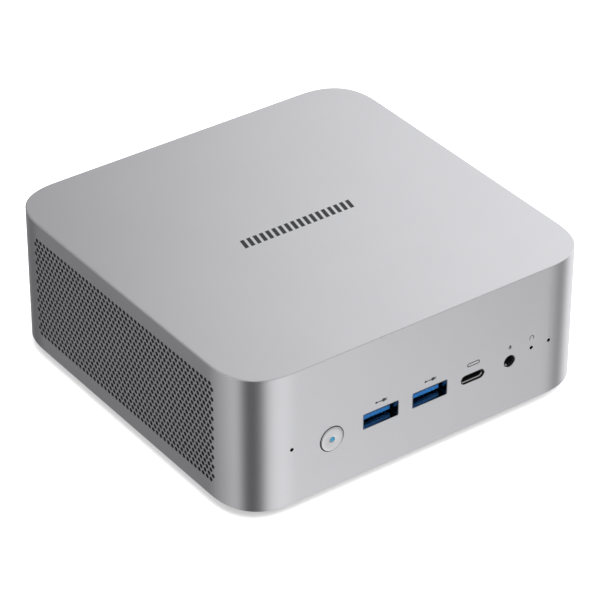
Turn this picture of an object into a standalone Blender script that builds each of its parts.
"""A compact desktop computer: a one-piece aluminium housing with drilled sides, open below.

Everything else goes in from below: the rear panel, the main board with its cooler and connectors, the
memory and drives under the board, and the screwed bottom cover with its four feet.

Sizes are in millimetres, times MM where Blender takes metres. X points right, Y points back, Z points up.
The origin is on the ground, under the middle of the housing. The front face is at -Y.
"""

import math

import bmesh
import bpy
from mathutils import Matrix, Vector

MM = 0.001

# Driving sizes of the housing
WIDTH = 128.0
DEPTH = 126.0
SHELL_HEIGHT = 46.0
FOOT_LIFT = 3.0
CORNER_RADIUS = 15.3
WALL = 1.8
ROOF = 2.0
TOP_CHAMFER = 0.35
GAP = 0.3

HALF_WIDTH = WIDTH / 2
HALF_DEPTH = DEPTH / 2
FRONT = -HALF_DEPTH
INNER_FRONT = FRONT + WALL
INNER_REAR = HALF_DEPTH - WALL
SHELL_BOTTOM = FOOT_LIFT
SHELL_TOP = SHELL_BOTTOM + SHELL_HEIGHT
ROOF_UNDER = SHELL_TOP - ROOF
FACE_MIDDLE = (SHELL_BOTTOM + SHELL_TOP) / 2
INNER_RADIUS = CORNER_RADIUS - WALL

# Bosses that take the cover's screws, one in each corner of the housing
BOSS_X = 54.5
BOSS_Y = 53.5
BOSS_RADIUS = 6.0
CORNERS = [(x, y) for x in (-1, 1) for y in (-1, 1)]

# Levels of the layers inside, from the ground
COVER_BOTTOM = SHELL_BOTTOM + GAP
COVER_TOP = COVER_BOTTOM + 2.3
BOARD_THICKNESS = 1.6
BOARD_TOP = FACE_MIDDLE - 7.8
BOARD_BOTTOM = BOARD_TOP - BOARD_THICKNESS
ON_BOARD = BOARD_TOP + GAP
UNDER_BOARD = BOARD_BOTTOM - GAP
ON_COVER = COVER_TOP + GAP

# Front controls and sockets: X from the middle, height from the middle of the face
POWER_X = -33.3
POWER_Z = FACE_MIDDLE - 5.6
POWER_RADIUS = 4.2
POWER_PROUD = 0.4
RESET_X = -47.5
PINHOLE_Z = FACE_MIDDLE - 3.5
PINHOLE_RADIUS = 0.65
MICROPHONES_X = (40.7, 47.4)
USB_A_X = (-15.67, 2.34)
USB_A_Z = FACE_MIDDLE - 4.65
USB_A_MOUTH = (12.72, 5.26)
USB_C_X = 18.4
USB_C_Z = FACE_MIDDLE - 5.1
USB_C_MOUTH = (8.7, 3.04)
JACK_X = 32.4
JACK_Z = FACE_MIDDLE - 5.15
JACK_RADIUS = 2.05
FRONT_SOCKETS_NEAR = INNER_FRONT + GAP

# Side vents: a coarse field of six-sided holes over the area that the fine drilling covers
VENT_PITCH = 9.6
VENT_ROWS = 4
VENT_COLUMNS = 10
VENT_ROW_PITCH = 9.0
VENT_RADIUS = 1.9

# Rear window, panel and sockets
WINDOW_HALF = 47.5
WINDOW_BOTTOM = SHELL_BOTTOM + 3.5
WINDOW_TOP = SHELL_TOP - 3.5
PANEL_FACE = HALF_DEPTH - 0.6
SOCKET_FACE = HALF_DEPTH + 0.2
FLANGE_BACK = INNER_REAR - GAP
FLANGE_FRONT = FLANGE_BACK - 2.0
DC_X = 39.5
DC_Z = ON_BOARD + 5.0
DC_NOSE = 4.2
USB_C_BODY = (8.94, 3.2)
REAR_USB_C_X = 28.3
REAR_USB_C_Z = ON_BOARD + 2.4
VIDEO_X = (14.2, -3.0)
VIDEO_Z = ON_BOARD + 3.5
VIDEO_BODY = (15.0, 6.0)
VIDEO_TAPER = 1.6
REAR_USB_A_X = -19.3
REAR_USB_A_HALF = 6.6
REAR_USB_A_TOP = ON_BOARD + 15.6
ETHERNET_X = -36.1
ETHERNET_HALF = 8.0
ETHERNET_TOP = ON_BOARD + 13.5
CONTACT_PITCH = 1.02
PORT_GAP = 0.4
EXHAUST_SLOTS = 22
EXHAUST_PITCH = 4.0
EXHAUST_BOTTOM = SHELL_TOP - 12.8
EXHAUST_TOP = SHELL_TOP - 5.2

# Feet, and the screws that hold the board to the frame under it
FOOT_X = 42.0
FOOT_Y = 41.0
FOOT_RADIUS = 7.0
FOOT_TOP = COVER_BOTTOM + 0.5
SCREW_X = 58.6
SCREW_YS = (-28.0, 26.0)
SCREW_PLACES = [(side * SCREW_X, y) for side in (-1, 1) for y in SCREW_YS]

# Cooler
COLD_PLATE_BOTTOM = ON_BOARD + 2.7
COLD_PLATE_THICKNESS = 3.0
PIPE_RADIUS = 2.2
PIPE_Z = COLD_PLATE_BOTTOM + COLD_PLATE_THICKNESS + GAP + PIPE_RADIUS
FIN_COUNT = 28
FIN_BOTTOM = ON_BOARD + 16.1
FIN_TOP = ROOF_UNDER - 1.2
FIN_FRONT = 33.5
FIN_REAR = FLANGE_FRONT - 0.6
FAN_X = 0.0
FAN_Y = -8.0
FAN_BOTTOM = BOARD_TOP + 11.8
FAN_TOP = ROOF_UNDER - 1.5
FAN_BLADES = 15

# Drives and the flat fan under them
SSD_BOTTOM = UNDER_BOARD - 3.4
SSD_YS = (7.0, 33.0)
SMALL_FAN_X = -14.0
SMALL_FAN_Y = 20.0
SMALL_FAN_BLADES = 9

# How far a cutter reaches past the surface it starts from
OVERSHOOT = 2.0


def collection(name):
    made = bpy.data.collections.new(name)
    bpy.context.scene.collection.children.link(made)
    return made


def clear_scene():
    for old in list(bpy.data.objects):
        bpy.data.objects.remove(old, do_unlink=True)


clear_scene()
PARTS = collection("desktop_computer")
HELPERS = collection("cutters")


def finish(name, colour, roughness, metallic=0.0):
    made = bpy.data.materials.new(name)
    made.use_nodes = True
    shader = made.node_tree.nodes["Principled BSDF"]
    shader.inputs["Base Color"].default_value = (*colour, 1.0)
    shader.inputs["Roughness"].default_value = roughness
    shader.inputs["Metallic"].default_value = metallic
    return made


ALUMINIUM = finish("blasted_aluminium", (0.80, 0.81, 0.82), 0.42, 1.0)
BUTTON_SILVER = finish("button_silver", (0.86, 0.87, 0.88), 0.35, 1.0)
LENS_BLUE = finish("lens_blue", (0.10, 0.55, 0.95), 0.2)
BLACK_PLASTIC = finish("black_plastic", (0.025, 0.025, 0.028), 0.5)
DARK_PLASTIC = finish("dark_plastic", (0.05, 0.05, 0.055), 0.55)
RUBBER = finish("foot_rubber", (0.03, 0.03, 0.03), 0.85)
STEEL = finish("connector_steel", (0.62, 0.62, 0.64), 0.3, 1.0)
SCREW_STEEL = finish("screw_steel", (0.2, 0.2, 0.21), 0.35, 1.0)
BLUE_TONGUE = finish("tongue_blue", (0.03, 0.22, 0.75), 0.4)
BOARD_GREEN = finish("board_laminate", (0.01, 0.05, 0.03), 0.45)
COPPER = finish("copper", (0.72, 0.36, 0.2), 0.3, 1.0)
FIN_METAL = finish("fin_aluminium", (0.7, 0.71, 0.73), 0.35, 1.0)
CHIP_BLACK = finish("chip_black", (0.02, 0.02, 0.022), 0.4)
BATTERY_METAL = finish("battery_metal", (0.7, 0.7, 0.68), 0.25, 1.0)
ANTENNA_FILM = finish("antenna_film", (0.3, 0.18, 0.05), 0.4)


# Shapes: each returns a function that adds the shape to a bmesh


def box(low, high, spin=0.0, about=(0.0, 0.0)):
    """An upright box between two corners, turned by spin degrees about the vertical line through about."""
    low, high = Vector(low), Vector(high)
    pivot = Matrix.Translation((*about, 0.0))
    place = pivot @ Matrix.Rotation(math.radians(spin), 4, "Z") @ pivot.inverted()
    place = place @ Matrix.Translation((low + high) / 2) @ Matrix.Diagonal((*(high - low), 1.0))

    def add(bm):
        return bmesh.ops.create_cube(bm, size=1.0, matrix=place)["verts"]

    return add


def rounded_box(low, high, radius, axis="Z", segments=6, top_chamfer=0.0):
    """A box whose four edges along axis are rounded, with an optional chamfer round its top face."""
    along = "XYZ".index(axis)
    plain = box(low, high)

    def add(bm):
        corners = plain(bm)
        edges = {edge for corner in corners for edge in corner.link_edges}
        upright = [e for e in edges if abs((e.verts[0].co - e.verts[1].co)[along]) > 1e-6]
        bmesh.ops.bevel(bm, geom=upright, offset=radius, segments=segments, profile=0.5, affect="EDGES")
        if top_chamfer:
            rim = [e for e in bm.edges if all(abs(v.co[along] - high[along]) < 1e-6 for v in e.verts)]
            bmesh.ops.bevel(bm, geom=rim, offset=top_chamfer, segments=1, profile=0.5, affect="EDGES")

    return add


def slot(centre, width, height, near, far, segments=5):
    """A flat opening or body with round ends, seen along Y, from near to far."""
    x, z = centre
    low = (x - width / 2, near, z - height / 2)
    high = (x + width / 2, far, z + height / 2)
    return rounded_box(low, high, height / 2 * 0.98, "Y", segments)


def tapered_slot(centre, width, height, near, far, taper):
    """A socket outline whose two lower corners are cut off, seen along Y."""
    x, z = centre
    plain = box((x - width / 2, near, z - height / 2), (x + width / 2, far, z + height / 2))

    def add(bm):
        corners = plain(bm)
        edges = {edge for corner in corners for edge in corner.link_edges}
        lower = [
            e
            for e in edges
            if all(v.co.z < z for v in e.verts) and abs(e.verts[0].co.x - e.verts[1].co.x) < 1e-6
        ]
        bmesh.ops.bevel(bm, geom=lower, offset=taper, segments=1, profile=0.5, affect="EDGES")

    return add


def cylinder(start, radius, length, axis="Z", sides=24, end_radius=None):
    """A round bar, or a cone frustum, from start towards +axis."""
    turn = {"X": Matrix.Rotation(math.radians(90), 4, "Y"), "Y": Matrix.Rotation(math.radians(-90), 4, "X")}
    middle = Matrix.Translation((0, 0, length / 2))
    place = Matrix.Translation(start) @ turn.get(axis, Matrix.Identity(4)) @ middle
    far_radius = radius if end_radius is None else end_radius

    def add(bm):
        bmesh.ops.create_cone(
            bm, cap_ends=True, segments=sides, radius1=radius, radius2=far_radius, depth=length, matrix=place
        )

    return add


def cut(*shapes):
    return "DIFFERENCE", shapes


def join(*shapes):
    return "UNION", shapes


def mesh_object(name, shapes, where, origin=(0.0, 0.0, 0.0)):
    bm = bmesh.new()
    for add in shapes:
        add(bm)
    bmesh.ops.translate(bm, verts=bm.verts, vec=-Vector(origin))
    bmesh.ops.scale(bm, verts=bm.verts, vec=(MM, MM, MM))
    bmesh.ops.recalc_face_normals(bm, faces=bm.faces)
    mesh = bpy.data.meshes.new(name)
    bm.to_mesh(mesh)
    bm.free()
    made = bpy.data.objects.new(name, mesh)
    made.location = Vector(origin) * MM
    where.objects.link(made)
    return made


def shade_round(part, angle=35.0):
    part.data.shade_smooth()
    part.data.set_sharp_from_angle(angle=math.radians(angle))


def apply_steps(part, steps):
    """Adds one Boolean for each step; the shapes of one step don't overlap each other."""
    for number, (operation, shapes) in enumerate(steps, start=1):
        helper = mesh_object(f"{part.name}_helper_{number}", shapes, HELPERS)
        helper.hide_render = True
        helper.display_type = "WIRE"
        modifier = part.modifiers.new(f"step_{number}", "BOOLEAN")
        modifier.operation = operation
        modifier.solver = "EXACT"
        modifier.object = helper


def solid(name, material, shape, *steps, origin=(0.0, 0.0, 0.0)):
    part = mesh_object(name, [shape], PARTS, origin)
    part.data.materials.append(material)
    shade_round(part)
    apply_steps(part, steps)
    return part


def turned(name, material, profile, base, *steps, towards="Z", sides=32):
    """A turned piece: (radius, height) points from the top middle, down the outside, to the bottom middle.

    Its axis starts at base; height grows towards +Z, or towards the front where towards is FRONT.
    """
    mesh = bpy.data.meshes.new(name)
    points = [(radius * MM, 0.0, height * MM) for radius, height in profile]
    mesh.from_pydata(points, [(i, i + 1) for i in range(len(points) - 1)], [])
    part = bpy.data.objects.new(name, mesh)
    part.location = Vector(base) * MM
    if towards == "FRONT":
        part.rotation_euler = (math.radians(90), 0.0, 0.0)
    PARTS.objects.link(part)
    part.data.materials.append(material)
    screw = part.modifiers.new("turn", "SCREW")
    screw.angle = math.tau
    screw.steps = sides
    screw.render_steps = sides
    screw.use_merge_vertices = True
    screw.merge_threshold = 0.00001
    screw.use_smooth_shade = False
    apply_steps(part, steps)
    return part


def tube(name, material, corners, radius, bend):
    """A round pipe along straight runs, with each inner corner rounded by a bend of that radius."""
    points = [Vector(corners[0])]
    for before, corner, after in zip(corners, corners[1:], corners[2:]):
        before, corner, after = Vector(before), Vector(corner), Vector(after)
        inward, outward = (before - corner).normalized(), (after - corner).normalized()
        reach = min(bend, (before - corner).length / 2.1, (after - corner).length / 2.1)
        start, end = corner + inward * reach, corner + outward * reach
        for step in range(7):
            t = step / 6
            points.append(start * (1 - t) ** 2 + corner * 2 * t * (1 - t) + end * t**2)
    points.append(Vector(corners[-1]))
    curve = bpy.data.curves.new(name, "CURVE")
    curve.dimensions = "3D"
    curve.bevel_depth = radius * MM
    curve.bevel_resolution = 2
    curve.use_fill_caps = True
    spline = curve.splines.new("POLY")
    spline.points.add(len(points) - 1)
    for target, point in zip(spline.points, points):
        target.co = (*(point * MM), 1.0)
    curve.materials.append(material)
    made = bpy.data.objects.new(name, curve)
    PARTS.objects.link(made)
    return made


# The enclosure


def vent_holes():
    """Staggered six-sided holes through both side walls."""
    shapes = []
    for row in range(VENT_ROWS):
        count = VENT_COLUMNS - row % 2
        z = FACE_MIDDLE + ((VENT_ROWS - 1) / 2 - row) * VENT_ROW_PITCH
        for column in range(count):
            y = (column - (count - 1) / 2) * VENT_PITCH
            for side in (-1, 1):
                start = (side * HALF_WIDTH - 3.0, y, z)
                shapes.append(cylinder(start, VENT_RADIUS, 6.0, "X", sides=6))
    return shapes


def front_openings():
    near, depth = FRONT - OVERSHOOT, WALL + 2 * OVERSHOOT
    width, height = USB_A_MOUTH
    shapes = [
        box((x - width / 2, near, USB_A_Z - height / 2), (x + width / 2, near + depth, USB_A_Z + height / 2))
        for x in USB_A_X
    ]
    shapes.append(slot((USB_C_X, USB_C_Z), *USB_C_MOUTH, near, near + depth))
    shapes.append(cylinder((POWER_X, near, POWER_Z), POWER_RADIUS + GAP, depth, "Y", sides=32))
    shapes.append(cylinder((JACK_X, near, JACK_Z), JACK_RADIUS, depth, "Y"))
    for x in (RESET_X, *MICROPHONES_X):
        shapes.append(cylinder((x, near, PINHOLE_Z), PINHOLE_RADIUS, depth, "Y", sides=12))
    return shapes


def housing():
    outer = rounded_box(
        (-HALF_WIDTH, -HALF_DEPTH, SHELL_BOTTOM),
        (HALF_WIDTH, HALF_DEPTH, SHELL_TOP),
        CORNER_RADIUS,
        segments=9,
        top_chamfer=TOP_CHAMFER,
    )
    cavity = rounded_box(
        (-HALF_WIDTH + WALL, INNER_FRONT, SHELL_BOTTOM - 5.0),
        (HALF_WIDTH - WALL, INNER_REAR, ROOF_UNDER),
        INNER_RADIUS,
        segments=6,
    )
    bosses = [
        cylinder((x * BOSS_X, y * BOSS_Y, ON_COVER), BOSS_RADIUS, ROOF_UNDER + 1.0 - ON_COVER, sides=14)
        for x, y in CORNERS
    ]
    screw_holes = [cylinder((x * BOSS_X, y * BOSS_Y, 1.0), 1.5, 14.0, sides=12) for x, y in CORNERS]
    rear_window = box(
        (-WINDOW_HALF, INNER_REAR - 3.0, WINDOW_BOTTOM), (WINDOW_HALF, HALF_DEPTH + 3.0, WINDOW_TOP)
    )
    return solid(
        "housing",
        ALUMINIUM,
        outer,
        cut(cavity),
        join(*bosses),
        cut(*screw_holes, rear_window, *front_openings(), *vent_holes()),
    )


def bottom_cover():
    plate = rounded_box(
        (-HALF_WIDTH + WALL + GAP, INNER_FRONT + GAP, COVER_BOTTOM),
        (HALF_WIDTH - WALL - GAP, INNER_REAR - GAP, COVER_TOP),
        INNER_RADIUS - GAP,
        segments=6,
    )
    intake = []
    for row in range(9):
        y = SMALL_FAN_Y + (row - 4) * 4.6
        half = math.sqrt(max(22.0**2 - (y - SMALL_FAN_Y) ** 2, 0.0))
        intake.append(box((SMALL_FAN_X - half, y - 1.2, 1.0), (SMALL_FAN_X + half, y + 1.2, 8.0)))
    for row in range(6):
        y = -38.0 + row * 4.6
        intake.append(box((-34.0, y - 1.0, 1.0), (14.0, y + 1.0, 8.0)))
    recesses = [
        cylinder((x * FOOT_X, y * FOOT_Y, 1.0), FOOT_RADIUS + GAP, COVER_BOTTOM - 0.2) for x, y in CORNERS
    ]
    heads = [cylinder((x * BOSS_X, y * BOSS_Y, 1.0), 3.1, COVER_BOTTOM + 0.3, sides=20) for x, y in CORNERS]
    shanks = [cylinder((x * BOSS_X, y * BOSS_Y, 1.5), 1.8, 8.0, sides=12) for x, y in CORNERS]
    return solid("bottom_cover", DARK_PLASTIC, plate, cut(*intake, *recesses, *heads), cut(*shanks))


def feet():
    profile = [(0, FOOT_TOP), (FOOT_RADIUS, FOOT_TOP), (FOOT_RADIUS, 1.2), (FOOT_RADIUS - 0.9, 0), (0, 0)]
    for number, (x, y) in enumerate(CORNERS, start=1):
        turned(f"foot_{number}", RUBBER, profile, (x * FOOT_X, y * FOOT_Y, 0), sides=24)


def cover_screws():
    head_bottom = COVER_BOTTOM
    profile = [(0, 9.0), (1.2, 9.0), (1.2, 1.0), (2.7, 1.0), (2.7, 0.2), (2.3, 0), (0, 0)]
    for number, (x, y) in enumerate(CORNERS, start=1):
        base = (x * BOSS_X, y * BOSS_Y, head_bottom)
        socket = cylinder((base[0], base[1], 1.0), 1.1, head_bottom - 0.3, sides=6)
        turned(f"cover_screw_{number}", SCREW_STEEL, profile, base, cut(socket), sides=16)


def rear_panel_openings():
    near, far = FLANGE_FRONT - 3.0, HALF_DEPTH + 3.0
    shapes = [
        cylinder((DC_X, near, DC_Z), DC_NOSE + PORT_GAP, far - near, "Y"),
        slot((REAR_USB_C_X, REAR_USB_C_Z), *grown(USB_C_BODY), near, far),
        box(*grown_box(REAR_USB_A_X, REAR_USB_A_HALF, REAR_USB_A_TOP, near, far)),
        box(*grown_box(ETHERNET_X, ETHERNET_HALF, ETHERNET_TOP, near, far)),
    ]
    for x in VIDEO_X:
        shapes.append(tapered_slot((x, VIDEO_Z), *grown(VIDEO_BODY), near, far, VIDEO_TAPER))
    for column in range(EXHAUST_SLOTS):
        x = (column - (EXHAUST_SLOTS - 1) / 2) * EXHAUST_PITCH
        shapes.append(box((x - 1.0, near, EXHAUST_BOTTOM), (x + 1.0, far, EXHAUST_TOP)))
    return shapes


def grown(size):
    return size[0] + 2 * PORT_GAP, size[1] + 2 * PORT_GAP


def grown_box(x, half, top, near, far):
    return (x - half - PORT_GAP, near, ON_BOARD - PORT_GAP), (x + half + PORT_GAP, far, top + PORT_GAP)


def rear_io_panel():
    face = box(
        (-WINDOW_HALF + GAP, FLANGE_BACK - 1.0, WINDOW_BOTTOM + GAP),
        (WINDOW_HALF - GAP, PANEL_FACE, WINDOW_TOP - GAP),
    )
    flange = box(
        (-WINDOW_HALF - 1.4, FLANGE_FRONT, WINDOW_BOTTOM - 0.6),
        (WINDOW_HALF + 1.4, FLANGE_BACK, WINDOW_TOP + 0.7),
    )
    return solid("rear_io_panel", BLACK_PLASTIC, face, join(flange), cut(*rear_panel_openings()))


# Front controls


def power_button():
    """A cap with a slightly domed face, a flange behind the wall and a stem that meets the switch."""
    dome = [(0.95, -0.03), (1.8, -0.05), (3.0, -0.12), (3.8, -0.22), (4.0, -0.28), (POWER_RADIUS, -0.5)]
    back = [(POWER_RADIUS, -2.5), (5.2, -2.5), (5.2, -3.2), (1.9, -3.2), (1.9, -5.2), (0, -5.2)]
    hole = [(0, -2.6), (0.95, -2.6)]
    base = (POWER_X, FRONT - POWER_PROUD, POWER_Z)
    turned("power_button", BUTTON_SILVER, hole + dome + back, base, towards="FRONT", sides=28)
    lens = [(0, 0.0), (0.45, -0.03), (0.65, -0.12), (0.65, -2.2), (0, -2.2)]
    turned("power_button_lens", LENS_BLUE, lens, base, towards="FRONT", sides=16)


def tactile_switch(name, x, z, near, left, right):
    """A switch body on the board's front edge, reaching left and right of the round nub that is pressed."""
    body = box((x - left, near + 0.6, ON_BOARD), (x + right, near + 4.0, z + 2.6))
    boss = cylinder((x, near, z), 1.7, 1.2, "Y", sides=16)
    return solid(name, CHIP_BLACK, body, join(boss))


def switches():
    tactile_switch("power_switch", POWER_X, POWER_Z, FRONT + 5.6, 3.1, 3.1)
    tactile_switch("reset_switch", RESET_X, PINHOLE_Z, FRONT + 5.0, 0.7, 4.8)
    plunger = [(0, 0), (0.7, 0), (0.9, -0.2), (0.9, -1.2), (1.5, -1.2), (1.5, -1.9), (0, -1.9)]
    base = (RESET_X, INNER_FRONT + 0.4, PINHOLE_Z)
    turned("reset_plunger", DARK_PLASTIC, plunger, base, towards="FRONT", sides=16)


# Sockets


def usb_a_front():
    """Each socket is a steel shell, open in front, with a blue tongue low in it that its back carries."""
    near, far = FRONT_SOCKETS_NEAR, FRONT_SOCKETS_NEAR + 14.0
    for number, x in enumerate(USB_A_X, start=1):
        shell = box((x - 6.7, near, USB_A_Z - 2.85), (x + 6.7, far, USB_A_Z + 2.85))
        pocket = box((x - 6.3, near - 2.0, USB_A_Z - 2.5), (x + 6.3, far - 1.0, USB_A_Z + 2.5))
        solid(f"usb_a_front_shell_{number}", STEEL, shell, cut(pocket))
        rear = box((x - 6.0, far - 3.6, USB_A_Z - 2.2), (x + 6.0, far - 1.3, USB_A_Z + 2.2))
        tongue = box((x - 5.6, near + 0.6, USB_A_Z - 1.95), (x + 5.6, far - 2.5, USB_A_Z - 0.15))
        solid(f"usb_a_front_tongue_{number}", BLUE_TONGUE, rear, join(tongue))


def usb_c_socket(name, x, z, near, far, facing):
    """A stadium shell with a closed back, a middle tongue and a seat on the board; facing is -1 or 1."""
    width, height = USB_C_BODY
    shell = slot((x, z), width, height, near, far)
    back = 1.0
    inner_near = near - 2.0 if facing < 0 else near + back
    inner_far = far - back if facing < 0 else far + 2.0
    pocket = slot((x, z), width - 0.6, height - 0.6, inner_near, inner_far)
    tongue_near = near + 1.2 if facing < 0 else near + back / 2
    tongue_far = far - back / 2 if facing < 0 else far - 1.2
    tongue = box((x - 3.3, tongue_near, z - 0.35), (x + 3.3, tongue_far, z + 0.35))
    seat_near = near + 1.0 if facing < 0 else near
    seat = box((x - 3.0, seat_near, ON_BOARD), (x + 3.0, seat_near + 6.0, z - height / 2 + 0.15))
    return solid(name, STEEL, shell, cut(pocket), join(tongue, seat))


def audio_jack():
    near = FRONT_SOCKETS_NEAR
    body = box((JACK_X - 3.2, near, ON_BOARD), (JACK_X + 3.2, near + 12.0, JACK_Z + 2.9))
    bore = cylinder((JACK_X, near - 1.0, JACK_Z), 1.8, 12.0, "Y")
    return solid("audio_jack", CHIP_BLACK, body, cut(bore))


def microphone_board():
    near = FRONT_SOCKETS_NEAR
    left, right = MICROPHONES_X
    board = box((left - 2.8, near, ON_BOARD), (right + 2.8, near + 1.0, PINHOLE_Z + 3.0))
    cans = [
        box((x - 1.7, near + 0.8, PINHOLE_Z - 1.3), (x + 1.7, near + 2.0, PINHOLE_Z + 1.3))
        for x in MICROPHONES_X
    ]
    ports = [cylinder((x, near - 1.0, PINHOLE_Z), 0.5, 1.6, "Y", sides=10) for x in MICROPHONES_X]
    return solid("microphone_board", BOARD_GREEN, board, join(*cans), cut(*ports))


def dc_jack():
    body = box((DC_X - 4.5, 47.0, ON_BOARD), (DC_X + 4.5, FLANGE_FRONT - GAP, DC_Z + 5.0))
    nose = cylinder((DC_X, 50.0, DC_Z), DC_NOSE, SOCKET_FACE - 50.0, "Y", sides=28)
    bore = cylinder((DC_X, 52.0, DC_Z), 2.9, 20.0, "Y", sides=24)
    pin = cylinder((DC_X, 51.0, DC_Z), 1.05, SOCKET_FACE - 1.2 - 51.0, "Y", sides=12)
    return solid("dc_jack", CHIP_BLACK, body, join(nose), cut(bore), join(pin))


def video_ports():
    width, height = VIDEO_BODY
    mouth = SOCKET_FACE + OVERSHOOT
    for number, x in enumerate(VIDEO_X, start=1):
        body = tapered_slot((x, VIDEO_Z), width, height, 48.5, SOCKET_FACE, VIDEO_TAPER)
        pocket = tapered_slot((x, VIDEO_Z), width - 0.8, height - 0.8, 50.0, mouth, VIDEO_TAPER - 0.2)
        tongue = box((x - 5.6, 49.3, VIDEO_Z - 0.2), (x + 5.6, SOCKET_FACE - 1.2, VIDEO_Z + 1.0))
        seat = box((x - 5.0, 49.5, ON_BOARD), (x + 5.0, 57.0, VIDEO_Z - height / 2 + 0.2))
        solid(f"video_port_{number}", STEEL, body, cut(pocket), join(tongue, seat))


def usb_a_rear():
    x = REAR_USB_A_X
    body = box((x - REAR_USB_A_HALF, 46.0, ON_BOARD), (x + REAR_USB_A_HALF, SOCKET_FACE, REAR_USB_A_TOP))
    centres = (ON_BOARD + 3.7, ON_BOARD + 11.9)
    mouth = SOCKET_FACE + OVERSHOOT
    pockets = [box((x - 6.25, 49.0, z - 2.56), (x + 6.25, mouth, z + 2.56)) for z in centres]
    tongues = [box((x - 5.6, 48.5, z + 0.1), (x + 5.6, SOCKET_FACE - 3.0, z + 1.9)) for z in centres]
    return solid("usb_a_rear", STEEL, body, cut(*pockets), join(*tongues))


def ethernet_port():
    """A shielded block with the plug's pocket, the latch notch under it and a row of contacts."""
    x = ETHERNET_X
    body = box((x - ETHERNET_HALF, 42.5, ON_BOARD), (x + ETHERNET_HALF, SOCKET_FACE, ETHERNET_TOP))
    pocket = box((x - 5.9, 48.0, ON_BOARD + 3.6), (x + 5.9, SOCKET_FACE + OVERSHOOT, ON_BOARD + 11.8))
    latch = box((x - 3.2, 50.0, ON_BOARD + 2.2), (x + 3.2, SOCKET_FACE + OVERSHOOT, ON_BOARD + 4.0))
    key = box((x - 1.7, 52.0, ON_BOARD + 0.9), (x + 1.7, SOCKET_FACE + OVERSHOOT, ON_BOARD + 2.6))
    middles = [x + (i - 3.5) * CONTACT_PITCH for i in range(8)]
    contacts = [box((m - 0.2, 47.5, ON_BOARD + 10.9), (m + 0.2, 57.0, ON_BOARD + 12.1)) for m in middles]
    return solid("ethernet_port", STEEL, body, cut(pocket), cut(latch), cut(key), join(*contacts))


# Board, frame and cooler


def boss_clearances(bottom, height):
    radius = BOSS_RADIUS + 0.4
    return [cylinder((x * BOSS_X, y * BOSS_Y, bottom), radius, height, sides=14) for x, y in CORNERS]


def main_board():
    board = rounded_box((-61.0, -59.2, BOARD_BOTTOM), (61.0, 57.5, BOARD_TOP), 11.0, segments=5)
    holes = [cylinder((x, y, BOARD_BOTTOM - 2.0), 1.5, 6.0, sides=12) for x, y in SCREW_PLACES]
    return solid("main_board", BOARD_GREEN, board, cut(*boss_clearances(BOARD_BOTTOM - 2.0, 6.0), *holes))


def inner_frame():
    """A ring under the board's edge, which the board is screwed to."""
    bottom, top = UNDER_BOARD - 0.9, UNDER_BOARD
    ring = rounded_box((-61.4, -59.2, bottom), (61.4, 58.0, top), 12.0, segments=5)
    opening = rounded_box((-56.0, -55.0, bottom - 2.0), (56.0, 53.0, top + 2.0), 23.0, segments=6)
    holes = [cylinder((x, y, bottom - 2.0), 1.5, 8.0, sides=12) for x, y in SCREW_PLACES]
    clearances = boss_clearances(bottom - 2.0, 7.0)
    return solid("inner_frame", DARK_PLASTIC, ring, cut(opening), cut(*clearances, *holes))


def board_screws():
    profile = [(0, 1.5), (2.0, 1.5), (2.2, 1.2), (2.2, 0), (1.1, 0), (1.1, -4.0), (0, -4.0)]
    for number, (x, y) in enumerate(SCREW_PLACES, start=1):
        socket = cylinder((x, y, ON_BOARD + 0.7), 0.9, 2.0, sides=6)
        turned(f"board_screw_{number}", SCREW_STEEL, profile, (x, y, ON_BOARD), cut(socket), sides=14)


def processor():
    package = box((FAN_X - 14.0, FAN_Y - 12.0, ON_BOARD), (FAN_X + 14.0, FAN_Y + 12.0, ON_BOARD + 1.6))
    die = box((FAN_X - 8.0, FAN_Y - 6.0, ON_BOARD + 1.0), (FAN_X + 8.0, FAN_Y + 6.0, ON_BOARD + 2.4))
    return solid("processor", CHIP_BLACK, package, join(die))


def cold_plate():
    low = (FAN_X - 23.0, FAN_Y - 22.0, COLD_PLATE_BOTTOM)
    high = (FAN_X + 23.0, FAN_Y + 22.0, COLD_PLATE_BOTTOM + COLD_PLATE_THICKNESS)
    return solid("cold_plate", COPPER, rounded_box(low, high, 3.0, segments=3))


def heat_pipes():
    """Each pipe runs back over the plate, rises past the blower and lies sideways under the fins."""
    rise_z = FIN_BOTTOM - GAP - PIPE_RADIUS
    for name, side in (("heat_pipe_left", -1), ("heat_pipe_right", 1)):
        corners = [
            (side * 9.0, FAN_Y - 20.0, PIPE_Z),
            (side * 9.0, 31.5, PIPE_Z),
            (side * 9.0, 40.0, rise_z),
            (side * 42.0, 40.0, rise_z),
        ]
        tube(name, COPPER, corners, PIPE_RADIUS, 7.0)


def fin_stack():
    base = box((-44.0, FIN_FRONT, FIN_BOTTOM), (44.0, FIN_REAR, FIN_BOTTOM + 1.2))
    fins = []
    for i in range(FIN_COUNT):
        x = -43.2 + i * 86.4 / (FIN_COUNT - 1)
        fins.append(box((x - 0.4, FIN_FRONT + 0.5, FIN_BOTTOM + 0.6), (x + 0.4, FIN_REAR - 0.5, FIN_TOP)))
    return solid("fin_stack", FIN_METAL, base, join(*fins))


def blade_ring(count, inner, outer, bottom, top, centre, thickness, lean):
    """Blades round a hub: each one a thin upright box, set off the hub's middle by lean."""
    x, y = centre
    return [
        box(
            (x + inner, y + lean - thickness / 2, bottom),
            (x + outer, y + lean + thickness / 2, top),
            spin=360.0 * i / count,
            about=centre,
        )
        for i in range(count)
    ]


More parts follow.
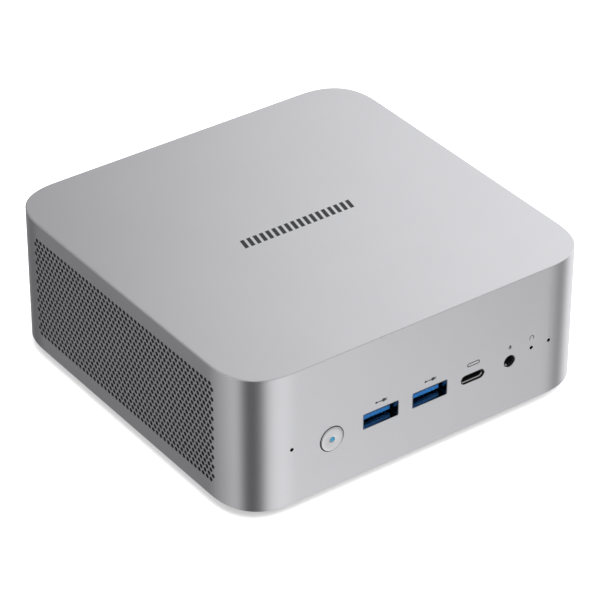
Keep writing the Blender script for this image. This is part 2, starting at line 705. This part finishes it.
def cpu_fan():
    frame = rounded_box((-39.0, FAN_Y - 39.0, FAN_BOTTOM), (39.0, 31.0, FAN_TOP), 8.0, segments=4)
    floor, ceiling = FAN_BOTTOM + 1.5, FAN_TOP - 1.2
    scroll = cylinder((FAN_X, FAN_Y, floor), 35.0, ceiling - floor, sides=40)
    outlet = box((FAN_X - 34.0, FAN_Y, floor), (FAN_X + 34.0, 40.0, ceiling))
    inlet = cylinder((FAN_X, FAN_Y, ceiling - 2.0), 23.0, 8.0, sides=40)
    solid("cpu_fan_housing", BLACK_PLASTIC, frame, cut(scroll), cut(outlet), cut(inlet))
    stator = [(0, 8.0), (1.2, 8.0), (1.2, 6.0), (8.6, 6.0), (8.6, 0.6), (10.0, 0.6), (10.0, 0), (0, 0)]
    turned("cpu_fan_stator", SCREW_STEEL, stator, (FAN_X, FAN_Y, floor + GAP), sides=20)
    top = ceiling - floor - 0.6
    hub = [(0, top), (11.0, top), (12.0, top - 1.0), (12.0, 1.5), (9.6, 1.5), (9.6, 9.2), (0, 9.2)]
    blades = blade_ring(FAN_BLADES, 11.0, 32.5, floor + 1.5, ceiling - 1.2, (FAN_X, FAN_Y), 1.0, 5.0)
    turned("cpu_fan_rotor", DARK_PLASTIC, hub, (FAN_X, FAN_Y, floor), join(*blades), sides=30)


# Drives, memory and radio under the board


def memory():
    """Two modules lie flat, one under the other, each in its own edge socket."""
    left, right = -46.8, 22.8
    for name, z in (("memory_module_upper", UNDER_BOARD - 3.0), ("memory_module_lower", UNDER_BOARD - 7.9)):
        board = box((left, -50.0, z), (right, -17.5, z + 1.2))
        chips = [
            box((left + 5.0 + i * 15.8, -45.0, z - 1.0), (left + 17.0 + i * 15.8, -31.0, z + 2.2))
            for i in range(4)
        ]
        solid(name, BOARD_GREEN, board, join(*chips))
    upper_slot = box((-47.1, -25.0, UNDER_BOARD - 3.3), (23.1, -17.2, UNDER_BOARD - 1.5))
    upper = box((-48.5, -21.0, UNDER_BOARD - 4.6), (24.5, -15.0, UNDER_BOARD))
    solid("memory_socket_upper", CHIP_BLACK, upper, cut(upper_slot))
    lower_slot = box((-47.1, -25.0, UNDER_BOARD - 8.2), (23.1, -17.2, UNDER_BOARD - 6.4))
    lower = box((-48.5, -21.0, UNDER_BOARD - 9.6), (24.5, -10.0, UNDER_BOARD - 5.0))
    riser = box((-48.5, -14.6, UNDER_BOARD - 6.0), (24.5, -10.0, UNDER_BOARD))
    solid("memory_socket_lower", CHIP_BLACK, lower, join(riser), cut(lower_slot))


def drives():
    for number, y in enumerate(SSD_YS, start=1):
        board = box((-54.0, y - 11.0, SSD_BOTTOM), (26.0, y + 11.0, SSD_BOTTOM + 0.8))
        chips = [
            box((-50.0 + i * 18.0, y - 8.0, SSD_BOTTOM + 0.4), (-36.0 + i * 18.0, y + 8.0, SSD_BOTTOM + 2.2))
            for i in range(4)
        ]
        solid(f"ssd_{number}", BOARD_GREEN, board, join(*chips))
        body = box((23.6, y - 11.8, SSD_BOTTOM - 1.0), (31.0, y + 11.8, UNDER_BOARD))
        mouth = box((20.0, y - 11.3, SSD_BOTTOM - 0.3), (26.6, y + 11.3, SSD_BOTTOM + 1.1))
        solid(f"m2_socket_{number}", CHIP_BLACK, body, cut(mouth))


def ssd_heatsink():
    top = SSD_BOTTOM - GAP
    plate = box((-52.0, SSD_YS[0] - 11.0, top - 1.0), (22.0, SSD_YS[1] + 11.0, top))
    ribs = [box((-51.0, y - 0.6, top - 2.6), (21.0, y + 0.6, top - 0.5)) for y in range(-2, 43, 4)]
    return solid("ssd_heatsink", FIN_METAL, plate, join(*ribs))


def ssd_fan():
    """A flat fan under the drives, whose frame stands on the cover and carries the motor on three arms."""
    x, y = SMALL_FAN_X, SMALL_FAN_Y
    bottom, top = ON_COVER, ON_COVER + 3.9
    frame = rounded_box((x - 25.0, y - 25.0, bottom), (x + 25.0, y + 25.0, top), 4.0, segments=3)
    hole = cylinder((x, y, bottom - 2.0), 23.0, 8.0, sides=40)
    arms = [
        join(box((x, y - 1.2, top - 1.0), (x + 24.0, y + 1.2, top), spin=30.0 + 120.0 * i, about=(x, y)))
        for i in range(3)
    ]
    motor = cylinder((x, y, top - 1.0), 8.0, 1.0, sides=24)
    solid("ssd_fan_frame", BLACK_PLASTIC, frame, cut(hole), join(motor), *arms)
    hub = [(0, 2.2), (8.0, 2.2), (8.0, 0.3), (0, 0.3)]
    blades = blade_ring(SMALL_FAN_BLADES, 7.0, 21.8, bottom + 0.4, bottom + 2.1, (x, y), 1.2, 3.0)
    turned("ssd_fan_rotor", DARK_PLASTIC, hub, (x, y, bottom), join(*blades), sides=28)


def radio():
    x, z = 41.0, UNDER_BOARD - 3.4
    board = box((x - 11.0, -48.0, z), (x + 11.0, -16.0, z + 0.8))
    can = box((x - 8.0, -44.0, z + 0.4), (x + 8.0, -26.0, z + 2.2))
    solid("wifi_card", BOARD_GREEN, board, join(can))
    body = box((x - 11.8, -18.6, z - 1.0), (x + 11.8, -11.0, UNDER_BOARD))
    mouth = box((x - 11.3, -22.0, z - 0.3), (x + 11.3, -15.6, z + 1.1))
    solid("wifi_socket", CHIP_BLACK, body, cut(mouth))
    for name, side in (("antenna_left", -1), ("antenna_right", 1)):
        low = (min(side * 57.0, side * 50.5), -30.0, ON_COVER)
        high = (max(side * 57.0, side * 50.5), 30.0, ON_COVER + 0.8)
        solid(name, ANTENNA_FILM, rounded_box(low, high, 2.0, segments=3))


def clock_battery():
    x, y = 44.0, 14.0
    top = UNDER_BOARD - 0.7
    profile = [(0, 0), (9.6, 0), (10.0, -0.4), (10.0, -2.8), (9.0, -3.2), (0, -3.2)]
    turned("cmos_battery", BATTERY_METAL, profile, (x, y, top - GAP), sides=24)
    holder = cylinder((x, y, UNDER_BOARD - 3.4), 11.4, 3.4, sides=24)
    recess = cylinder((x, y, UNDER_BOARD - 8.0), 10.4, 7.3, sides=24)
    solid("battery_holder", CHIP_BLACK, holder, cut(recess))


def build():
    housing()
    rear_io_panel()
    bottom_cover()
    feet()
    cover_screws()
    power_button()
    switches()
    usb_a_front()
    near = FRONT_SOCKETS_NEAR
    usb_c_socket("usb_c_front", USB_C_X, USB_C_Z, near, near + 9.0, -1)
    audio_jack()
    microphone_board()
    dc_jack()
    usb_c_socket("usb_c_rear", REAR_USB_C_X, REAR_USB_C_Z, 50.0, SOCKET_FACE, 1)
    video_ports()
    usb_a_rear()
    ethernet_port()
    main_board()
    inner_frame()
    board_screws()
    processor()
    cold_plate()
    heat_pipes()
    fin_stack()
    cpu_fan()
    memory()
    drives()
    ssd_heatsink()
    ssd_fan()
    radio()
    clock_battery()


build()
